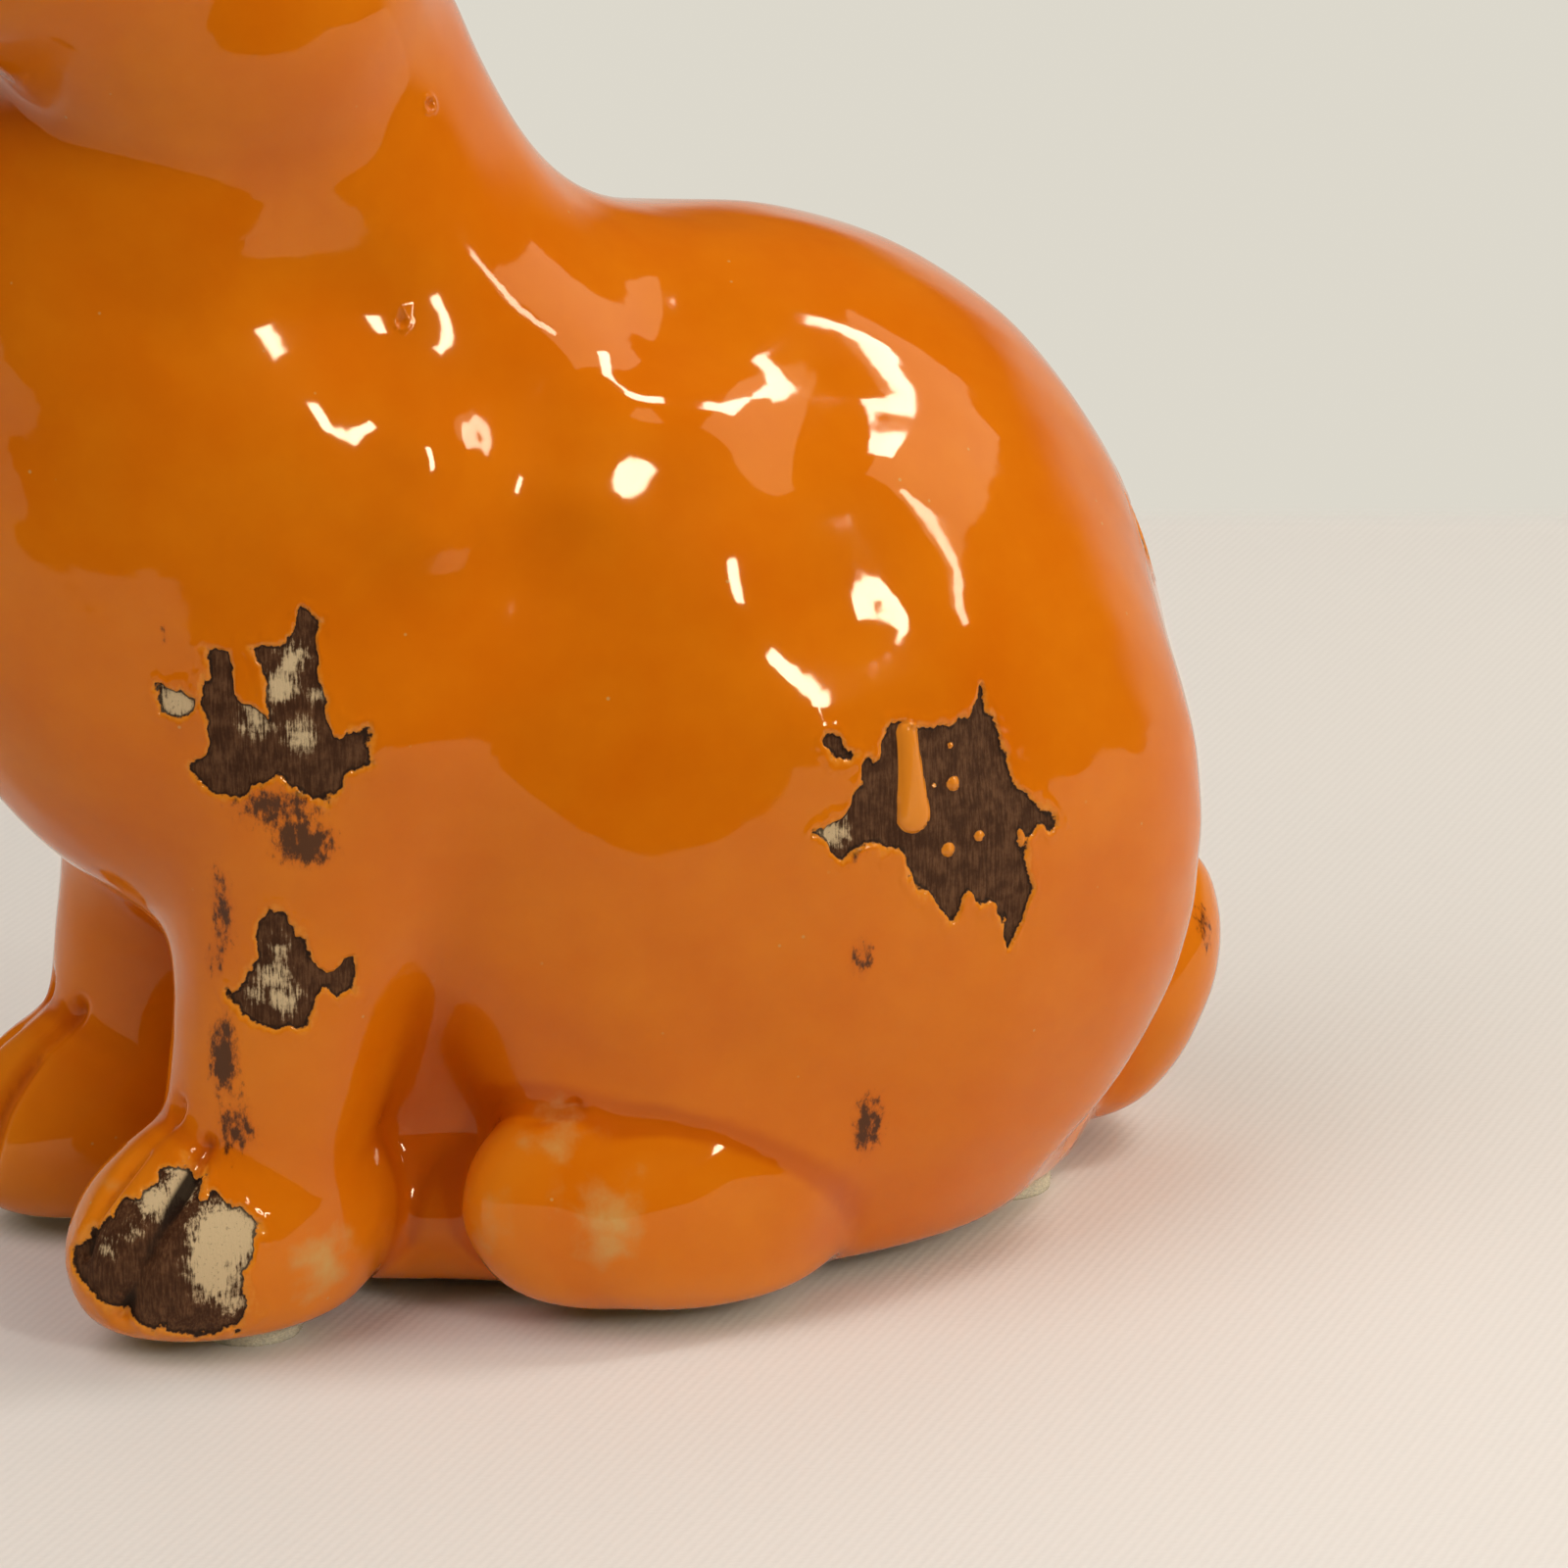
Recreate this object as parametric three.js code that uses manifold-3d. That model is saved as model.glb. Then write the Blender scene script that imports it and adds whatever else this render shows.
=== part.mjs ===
// A sitting rabbit figure in glazed ceramic, hollow, standing on four stick-on felt pads.
//
// Frame: millimetres, +Z up, the rabbit looks along -Y, its left side is on +X.
// Z = 0 is the table that the pads rest on, and the origin is the middle of the
// figure's own box, seen from above.
//
// The body is sculpted as clay is: a few egg-shaped masses and tapered limbs are pressed
// together with a soft fillet at each join. That sum is a distance rule, and the skin is
// the surface where the rule is zero.

import * as THREE from "three";
import { mergeVertices } from "three/addons/utils/BufferGeometryUtils.js";
import Module from "manifold-3d";

const wasm = await Module();
wasm.setup();

// ---------------------------------------------------------------- driving dimensions

const PAD_THICKNESS = 1.2;
const PAD_RADIUS = 3.8;
const PAD_SIDES = 24;
const FRONT_PAD = { x: 12, y: -26.8 };
const REAR_PAD = { x: 7.5, y: 31.5 };

const UNDERSIDE = PAD_THICKNESS; // height of the flat, unglazed underside
const RIM_ROUNDING = 4.4; // soft edge between the underside and the walls
const TRIM = 0.15; // the underside is ground flat by this much
const WALL = 4.2; // thickness of the cast ceramic
const VENT_RADIUS = 1.8; // hole in the underside that lets the slip drain
const VENT_Y = 6;
const VENT_SIDES = 16;

const SKIN_CELL = 3.9; // grid that the outer skin is drawn on
const CAVITY_CELL = 6.5;
const SKIN_BOX = { low: [-42, -66.5, -7], high: [42, 63, 175] };

// ------------------------------------------------------------------ masses of the figure
// at: middle of the mass. half: its half-lengths along X, Y and Z. tilt, lean and turn:
// degrees about X, Y and Z. A mass with pair: true is made on both sides of the figure.
// blend: size of the fillet that joins it to the masses before it.

const TORSO = [
  { at: [0, 11, 38.5], half: [28.2, 33, 33], tilt: -12 },
  { at: [0, 20, 31.5], half: [23, 25, 24], blend: 8 },
  { at: [0, -16, 48], half: [20.5, 29, 25], tilt: -22, blend: 16 },
];
const NECK = { from: [0, -11.5, 59.5], to: [0, -22.5, 92], radii: [16.5, 12.5], blend: 14 };
const THROAT = { at: [0, -29, 70], half: [15.5, 15, 20], blend: 12 };

const SKULL = { at: [0, -28.5, 107], half: [18.5, 20.5, 18] };
const MUZZLE = { at: [0, -44, 100.5], half: [11, 12, 10.5], blend: 10 };
const CHEEK = { at: [10, -37, 98.5], half: [10, 12.5, 10.5], blend: 7, pair: true };
const EYE = { at: [14.2, -38.5, 109.5], half: [4.2, 5.2, 4.6], blend: 2.5, pair: true };
const JOWL = { at: [8, -26, 91.5], half: [10, 13.5, 11], blend: 7, pair: true };
const HEAD_BLEND = 6;

const EAR = { at: [10.9, -17, 139], half: [7.8, 5, 25], tilt: -10, lean: 9, pair: true };
const EAR_HOLLOW = { at: [11.5, -23.2, 140], half: [4.8, 4.6, 18], tilt: -10, lean: 9, pair: true };
const EAR_RIM = 2.5;
const EAR_BLEND = 6;

const HAUNCH = { at: [15.8, 14.2, 28], half: [13.7, 27.5, 27.3], tilt: 10, blend: 8, pair: true };
const BASE = { at: [0, 9, 6.3], half: [22.4, 32, 12.3], blend: 6 };
const BELLY = { at: [0, -7, 20], half: [15, 15.5, 18], blend: 5 };
const INSTEP = { at: [7.3, -15, 5], half: [6.5, 9, 5], blend: 5, pair: true };
const HIND_FOOT = {
  at: [20, -1, 8],
  half: [6.6, 13.6, 8.8],
  tilt: -12,
  turn: 4,
  blend: 2.5,
  pair: true,
};
const FORELEG = {
  from: [12.5, -20, 42],
  to: [12.5, -26, 12],
  radii: [9, 6.6],
  blend: 9,
  pair: true,
};
const FRONT_PAW = { at: [12.5, -28.2, 7.4], half: [7.9, 11.5, 9], tilt: 12, blend: 2.5, pair: true };
const TAIL = { at: [0, 43.5, 11.4], half: [8.6, 6.8, 11.3], tilt: -28, blend: 4 };

// ------------------------------------------------------------------ distance rules

// The smaller of two distances, with a fillet of size k where they are nearly equal.
function join(a, b, k) {
  const near = Math.max(k - Math.abs(a - b), 0) / k;
  return Math.min(a, b) - (near ** 3 * k) / 6;
}

// The larger of two distances, with an edge rounded by k.
const cut = (a, b, k) => -join(-a, -b, k);

// Distance to an egg-shaped mass.
function egg({ at, half, tilt = 0, lean = 0, turn = 0, pair = false }) {
  const [pitch, roll, yaw] = [tilt, lean, turn].map(THREE.MathUtils.degToRad);
  const toEgg = new THREE.Matrix4()
    .makeRotationFromEuler(new THREE.Euler(pitch, roll, yaw, "ZYX"))
    .setPosition(...at)
    .invert();
  const q = new THREE.Vector3();
  return (p) => {
    q.set(pair ? Math.abs(p.x) : p.x, p.y, p.z).applyMatrix4(toEgg);
    const [x, y, z] = [q.x / half[0], q.y / half[1], q.z / half[2]];
    const k0 = Math.hypot(x, y, z);
    const k1 = Math.hypot(x / half[0], y / half[1], z / half[2]);
    return (k0 * (k0 - 1)) / Math.max(k1, 1e-9);
  };
}

// Distance to a limb, a round bar that tapers from one end to the other.
function limb({ from, to, radii, pair = false }) {
  const start = new THREE.Vector3(...from);
  const run = new THREE.Vector3(...to).sub(start);
  const q = new THREE.Vector3();
  return (p) => {
    q.set(pair ? Math.abs(p.x) : p.x, p.y, p.z).sub(start);
    const t = THREE.MathUtils.clamp(q.dot(run) / run.lengthSq(), 0, 1);
    return q.addScaledVector(run, -t).length() - THREE.MathUtils.lerp(radii[0], radii[1], t);
  };
}

// Presses a list of masses together, in order, each with its own fillet.
function pressed(masses) {
  const rules = masses.map((mass) => (mass.from ? limb(mass) : egg(mass)));
  return (p) =>
    rules.reduce(
      (sum, rule, i) => (i === 0 ? rule(p) : join(sum, rule(p), masses[i].blend)),
      0,
    );
}

const trunk = pressed([...TORSO, NECK, THROAT]);
const head = pressed([SKULL, MUZZLE, CHEEK, EYE, JOWL]);
const skull = egg(SKULL);
const earBlade = egg(EAR);
const earHollow = egg(EAR_HOLLOW);
const lowerMasses = [HAUNCH, BASE, BELLY, INSTEP, HIND_FOOT, FORELEG, FRONT_PAW, TAIL];
const lowerRules = lowerMasses.map((mass) => (mass.from ? limb(mass) : egg(mass)));
const base = egg(BASE);

function figure(p) {
  let d = join(trunk(p), head(p), HEAD_BLEND);
  d = join(d, cut(earBlade(p), -earHollow(p), EAR_RIM), EAR_BLEND);
  lowerRules.forEach((rule, i) => {
    d = join(d, rule(p), lowerMasses[i].blend);
  });
  return cut(d, UNDERSIDE - TRIM - p.z, RIM_ROUNDING);
}

// The space that is left when the slip is poured out: the main masses, one wall in.
function cavity(p) {
  const d = join(join(trunk(p), skull(p), HEAD_BLEND), base(p), BASE.blend);
  return cut(d + WALL, UNDERSIDE + WALL - p.z, RIM_ROUNDING);
}

// ------------------------------------------------------------------ skin and solids

// Moves a point that is close to the surface onto it, along the rule's steepest slope, and
// keeps it in the room of its own grid cell.
function settle(p, rule, cell, room) {
  const step = cell / 50;
  const slope = new THREE.Vector3();
  for (let pass = 0; pass < 2; pass++) {
    const d = rule(p);
    for (const axis of ["x", "y", "z"]) {
      const ahead = p.clone();
      ahead[axis] += step;
      slope[axis] = (rule(ahead) - d) / step;
    }
    const move = THREE.MathUtils.clamp(d / Math.max(slope.lengthSq(), 0.2), -cell / 4, cell / 4);
    p.addScaledVector(slope, -move).clamp(room.min, room.max);
  }
}

// Draws the surface where rule is zero. Every grid cell that the surface crosses gets one
// vertex, and every grid edge that it crosses gets one four-sided face, in two triangles.
function skin(rule, { low, high }, cell) {
  const count = low.map((l, i) => Math.ceil((high[i] - l) / cell) + 1);
  const [nx, ny, nz] = count;
  const at = (i, j, k) => (k * ny + j) * nx + i;
  const start = new THREE.Vector3(-((nx - 1) / 2) * cell, low[1], low[2]);
  const value = new Float64Array(nx * ny * nz);
  const p = new THREE.Vector3();
  for (let k = 0; k < nz; k++)
    for (let j = 0; j < ny; j++)
      for (let i = 0; i < nx; i++)
        value[at(i, j, k)] = rule(p.set(i, j, k).multiplyScalar(cell).add(start));

  const positions = [];
  const vertexOf = new Int32Array(nx * ny * nz).fill(-1);
  const corner = [0, 1, 2, 3, 4, 5, 6, 7].map((c) => [c & 1, (c >> 1) & 1, (c >> 2) & 1]);
  const edges = corner.flatMap((a, c) =>
    [0, 1, 2].filter((axis) => a[axis] === 0).map((axis) => [c, c | (1 << axis), axis]),
  );
  for (let k = 0; k < nz - 1; k++)
    for (let j = 0; j < ny - 1; j++)
      for (let i = 0; i < nx - 1; i++) {
        const v = corner.map(([a, b, c]) => value[at(i + a, j + b, k + c)]);
        const crossed = edges.filter(([a, b]) => v[a] < 0 !== v[b] < 0);
        if (crossed.length === 0) continue;
        p.set(0, 0, 0);
        for (const [a, b, axis] of crossed) {
          const point = [...corner[a]];
          point[axis] = v[a] / (v[a] - v[b]);
          p.add(new THREE.Vector3(...point));
        }
        p.divideScalar(crossed.length);
        p.add(new THREE.Vector3(i, j, k)).multiplyScalar(cell).add(start);
        const room = new THREE.Box3(
          new THREE.Vector3(i, j, k).addScalar(0.02).multiplyScalar(cell).add(start),
          new THREE.Vector3(i, j, k).addScalar(0.98).multiplyScalar(cell).add(start),
        );
        settle(p, rule, cell, room);
        vertexOf[at(i, j, k)] = positions.length / 3;
        positions.push(p.x, p.y, p.z);
      }

  const faces = [];
  const point = (v) => new THREE.Vector3().fromArray(positions, v * 3);
  const step = [1, nx, nx * ny];
  for (let k = 1; k < nz - 1; k++)
    for (let j = 1; j < ny - 1; j++)
      for (let i = 1; i < nx - 1; i++)
        for (let axis = 0; axis < 3; axis++) {
          const here = at(i, j, k);
          const inside = value[here] < 0;
          if (inside === value[here + step[axis]] < 0) continue;
          const [u, w] = [step[(axis + 1) % 3], step[(axis + 2) % 3]];
          const ring = [here - u - w, here - w, here, here - u].map((c) => vertexOf[c]);
          if (!inside) ring.reverse();
          const [a, b, c, d] = ring;
          const acrossAC = point(a).distanceTo(point(c)) <= point(b).distanceTo(point(d));
          if (acrossAC) faces.push(a, b, c, a, c, d);
          else faces.push(b, c, d, b, d, a);
        }

  const geometry = new THREE.BufferGeometry();
  geometry.setAttribute("position", new THREE.Float32BufferAttribute(positions, 3));
  geometry.setIndex(faces);
  return geometry;
}

// A closed three.js geometry as a solid that can be joined and cut.
function solid(geometry) {
  const bare = geometry.clone();
  bare.deleteAttribute("normal");
  bare.deleteAttribute("uv");
  const merged = mergeVertices(bare, 1e-4);
  return new wasm.Manifold(
    new wasm.Mesh({
      numProp: 3,
      vertProperties: new Float32Array(merged.attributes.position.array),
      triVerts: new Uint32Array(merged.index.array),
    }),
  );
}

// A finished solid as a three.js geometry again.
function shell(made) {
  const { vertProperties, triVerts } = made.getMesh();
  const geometry = new THREE.BufferGeometry();
  geometry.setAttribute("position", new THREE.BufferAttribute(vertProperties, 3));
  geometry.setIndex(new THREE.BufferAttribute(triVerts, 1));
  geometry.computeVertexNormals();
  return geometry;
}

// ------------------------------------------------------------------ ceramic body

const glaze = new THREE.MeshStandardMaterial({ color: 0xd8690f, roughness: 0.08, metalness: 0 });
const felt = new THREE.MeshStandardMaterial({ color: 0xe9e0c4, roughness: 0.9, metalness: 0 });

function ceramicBody() {
  const ground = new THREE.BoxGeometry(200, 200, 40).translate(0, 0, UNDERSIDE - 20);
  const vent = new THREE.CylinderGeometry(VENT_RADIUS, VENT_RADIUS, 30, VENT_SIDES)
    .rotateX(Math.PI / 2)
    .translate(0, VENT_Y, UNDERSIDE);
  const made = solid(skin(figure, SKIN_BOX, SKIN_CELL))
    .subtract(solid(ground))
    .subtract(solid(skin(cavity, SKIN_BOX, CAVITY_CELL)))
    .subtract(solid(vent));
  return new THREE.Mesh(shell(made), glaze);
}

// ------------------------------------------------------------------ felt pads

function feltPad(x, y) {
  const disc = new THREE.CylinderGeometry(PAD_RADIUS, PAD_RADIUS, PAD_THICKNESS, PAD_SIDES);
  const pad = new THREE.Mesh(disc.rotateX(Math.PI / 2), felt);
  pad.position.set(x, y, PAD_THICKNESS / 2);
  return pad;
}

// ------------------------------------------------------------------ assembly

const rabbit = new THREE.Group();

const body = ceramicBody();
body.name = "ceramic_body";
rabbit.add(body);

const pads = {
  felt_pad_front_left: feltPad(FRONT_PAD.x, FRONT_PAD.y),
  felt_pad_front_right: feltPad(-FRONT_PAD.x, FRONT_PAD.y),
  felt_pad_rear_left: feltPad(REAR_PAD.x, REAR_PAD.y),
  felt_pad_rear_right: feltPad(-REAR_PAD.x, REAR_PAD.y),
};
for (const [name, pad] of Object.entries(pads)) {
  pad.name = name;
  rabbit.add(pad);
}

// The origin goes to the middle of the figure's box, on the table.
const box = new THREE.Box3().setFromObject(rabbit);
rabbit.position.y = -(box.min.y + box.max.y) / 2;

export default rabbit;
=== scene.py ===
"""A sitting rabbit figure in orange glazed ceramic, with worn patches, on four felt pads."""

import math

import bmesh
import bpy
import numpy as np
from mathutils import Matrix, Vector


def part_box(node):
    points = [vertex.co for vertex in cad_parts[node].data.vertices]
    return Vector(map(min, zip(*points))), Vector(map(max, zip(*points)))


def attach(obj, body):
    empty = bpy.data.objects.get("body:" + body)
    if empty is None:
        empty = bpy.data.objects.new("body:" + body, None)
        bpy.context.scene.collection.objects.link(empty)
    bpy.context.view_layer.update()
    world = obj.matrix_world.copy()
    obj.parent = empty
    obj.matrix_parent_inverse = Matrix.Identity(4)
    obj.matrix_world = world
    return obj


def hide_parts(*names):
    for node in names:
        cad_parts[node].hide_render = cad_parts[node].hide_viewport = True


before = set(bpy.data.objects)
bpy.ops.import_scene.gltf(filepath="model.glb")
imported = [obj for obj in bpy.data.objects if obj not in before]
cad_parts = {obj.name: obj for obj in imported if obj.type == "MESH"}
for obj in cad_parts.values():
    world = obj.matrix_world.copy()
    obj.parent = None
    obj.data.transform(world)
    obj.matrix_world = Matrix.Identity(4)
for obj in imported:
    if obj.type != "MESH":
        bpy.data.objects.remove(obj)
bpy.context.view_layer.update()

bl_info = {
    "name": "Ceramic Rabbit",
    "version": (1, 0, 0),
    "blender": (4, 5, 0),
    "location": "View3D > Sidebar > Rabbit",
    "description": "Models a glazed ceramic rabbit figure with worn patches and felt pads",
    "category": "Object",
}

MM = 0.001
MOST_FACES = 199_000
SKIN_STEP = 0.02
RELIEF_STEP = 0.04
SLAB = 16
BODY_NODE = "ceramic_body"
PAD_NODES = (
    "felt_pad_front_left",
    "felt_pad_front_right",
    "felt_pad_rear_left",
    "felt_pad_rear_right",
)

# ------------------------------------------------------------------ masses of the figure
# Everything about the sculpted body is in millimetres, in the sculptor's own coordinates:
# the rabbit looks along -Y, its left side is on +X. The CAD model slides them along Y.
# at: middle of the mass. half: half-lengths. tilt, lean and turn: degrees about X, Y, Z.
# pair: made on both sides. blend: size of the fillet to the masses before it.

FRONT_PAD_Y = -26.8
UNDERSIDE = 1.2
UNDER_FADE = 1.2
TRIM = 0.15
RIM_ROUNDING = 4.4
GRID_BOX = ((-34.0, -59.5, -3.0), (34.0, 57.0, 168.0))
VENT_RADIUS = 1.8
VENT_Y = 6.0
VENT_DEPTH = 5.0
VENT_ROUNDING = 0.4

TRUNK = (
    dict(at=(0, 11, 38.5), half=(28.2, 33, 33), tilt=-12),
    dict(at=(0, 20, 31.5), half=(23, 25, 24), blend=8),
    dict(at=(0, -16, 48), half=(20.5, 29, 25), tilt=-22, blend=16),
    dict(start=(0, -11.5, 59.5), end=(0, -22.5, 92), radii=(16.5, 12.5), blend=14),
    dict(at=(0, -29, 70), half=(15.5, 15, 20), blend=12),
)
HEAD = (
    dict(at=(0, -28.5, 107), half=(18.5, 20.5, 18)),
    dict(at=(0, -44, 100.5), half=(11, 12, 10.5), blend=10),
    dict(at=(10, -37, 98.5), half=(10, 12.5, 10.5), blend=7, pair=True),
    dict(at=(14.2, -38.5, 109.5), half=(4.2, 5.2, 4.6), blend=2.5, pair=True),
    dict(at=(8, -26, 91.5), half=(10, 13.5, 11), blend=7, pair=True),
)
HEAD_BLEND = 6
EAR = dict(at=(10.9, -17, 139), half=(7.8, 5, 25), tilt=-10, lean=9, pair=True)
EAR_HOLLOW = dict(at=(11.5, -23.2, 140), half=(4.8, 4.6, 18), tilt=-10, lean=9, pair=True)
EAR_RIM = 2.5
EAR_BLEND = 6
LOWER = (
    dict(at=(15.8, 14.2, 28), half=(13.7, 27.5, 27.3), tilt=10, blend=8, pair=True),
    dict(at=(0, 9, 6.3), half=(22.4, 32, 12.3), blend=6),
    dict(at=(0, -7, 20), half=(15, 15.5, 18), blend=5),
    dict(at=(7.3, -15, 5), half=(6.5, 9, 5), blend=5, pair=True),
    dict(at=(20, -1, 8), half=(6.6, 13.6, 8.8), tilt=-12, turn=4, blend=2.5, pair=True),
    dict(at=(22.8, 2.4, 7.8), half=(5.3, 11.2, 7.8), tilt=-10, turn=8, blend=2.0, pair=True),
    dict(start=(12.5, -20, 42), end=(12.5, -26, 12), radii=(9, 6.6), blend=9, pair=True),
    dict(at=(12.5, -28.2, 7.4), half=(7.9, 11.5, 9), tilt=12, blend=2.5, pair=True),
    dict(at=(0, 43.5, 11.4), half=(8.6, 6.8, 11.3), tilt=-28, blend=4),
)

# ------------------------------------------------------------------ modelled detail
# Soft bumps and hollows of the hand-finished mould: middle, reach and height.

SWELLS = (
    ((14.3, 3.9, 67.5), 5.5, -1.0),
    ((19.5, 4.0, 61.5), 5.0, 0.8),
    ((21.1, 8.8, 60.5), 4.5, -0.6),
    ((25.0, 2.0, 53.0), 5.5, 0.7),
    ((18.1, 13.6, 63.7), 5.2, -0.75),
    ((22.6, 14.5, 58.0), 4.2, 0.7),
    ((26.8, 10.2, 50.2), 5.4, -0.75),
    ((27.6, 18.0, 46.0), 5.5, 0.6),
    ((28.2, 8.0, 43.8), 5.0, 0.6),
    ((19.2, -3.0, 62.7), 3.6, 0.8),
    ((20.8, -5.6, 58.0), 3.3, 0.7),
    ((18.8, -8.0, 63.8), 4.6, -1.1),
    ((19.3, -15.2, 62.0), 3.6, 0.7),
    ((20.3, -16.4, 57.0), 3.6, 0.7),
    ((22.0, -9.7, 54.0), 6.0, -1.1),
    ((16.7, -18.0, 70.5), 4.6, -0.8),
    ((17.5, -24.0, 64.5), 6.0, 0.8),
    ((16.0, -31.0, 58.0), 6.0, 0.7),
    ((14.5, -32.0, 82.0), 7.0, 1.0),
    ((15.5, -22.0, 83.0), 7.0, 1.0),
    ((15.0, -33.0, 72.0), 6.0, -1.0),
    ((17.0, -23.0, 72.5), 6.0, -1.0),
    ((24.8, 2.0, 14.8), 4.6, 1.1),
    ((25.9, 7.6, 11.2), 4.0, 1.0),
    ((22.4, -7.0, 20.6), 3.2, -0.7),
    ((26.0, 2.4, 19.6), 3.6, -0.7),
    ((26.8, 10.0, 15.8), 3.6, -0.5),
    ((23.2, -7.4, 15.8), 3.0, 0.6),
)

# Grooves: a line of points, half-width and depth. Each is on both sides of the figure.
TOE_GROOVES = (
    (
        ((16.6, -31.2, 15.2), (17.6, -33.4, 12.6), (17.6, -35.6, 8.8), (16.6, -37.4, 3.8)),
        0.75,
        1.0,
    ),
    (
        ((13.6, -31.2, 17.6), (13.8, -34.4, 15.2), (14.2, -37.0, 12.0), (14.0, -39.2, 8.0)),
        0.6,
        0.7,
    ),
    (
        ((9.6, -30.6, 16.8), (9.3, -34.2, 14.4), (8.8, -37.4, 10.2), (8.6, -39.4, 5.0)),
        0.75,
        1.0,
    ),
)
HIND_CREASES = (
    (((22.8, -7.2, 16.6), (21.4, -9.8, 15.0), (20.4, -11.6, 12.0), (20.2, -12.6, 8.8)), 0.7, 0.55),
    (((23.9, -4.6, 14.6), (24.0, -5.6, 12.4), (23.7, -5.6, 9.6)), 0.6, 0.5),
    (((25.4, -0.6, 14.2), (26.3, 0.6, 11.4), (26.4, 1.8, 8.6)), 0.6, 0.45),
)
FACE_GROOVES = (
    (((0, -56.4, 100.6), (0, -56.0, 97.6)), 0.45, 0.7),
    (((0, -56.0, 97.6), (2.6, -55.0, 95.6), (6.2, -52.4, 95.6)), 0.45, 0.6),
    (((2.2, -56.3, 103.2), (3.4, -55.4, 104.4)), 0.5, 0.7),
)
EYE_RING = dict(at=(17.4, -41.0, 110.0), facing=(-32, 8), radius=3.3, width=0.5, depth=0.5)
NOSE = ((0, -56.2, 103.0), 2.6, 0.9)

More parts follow.
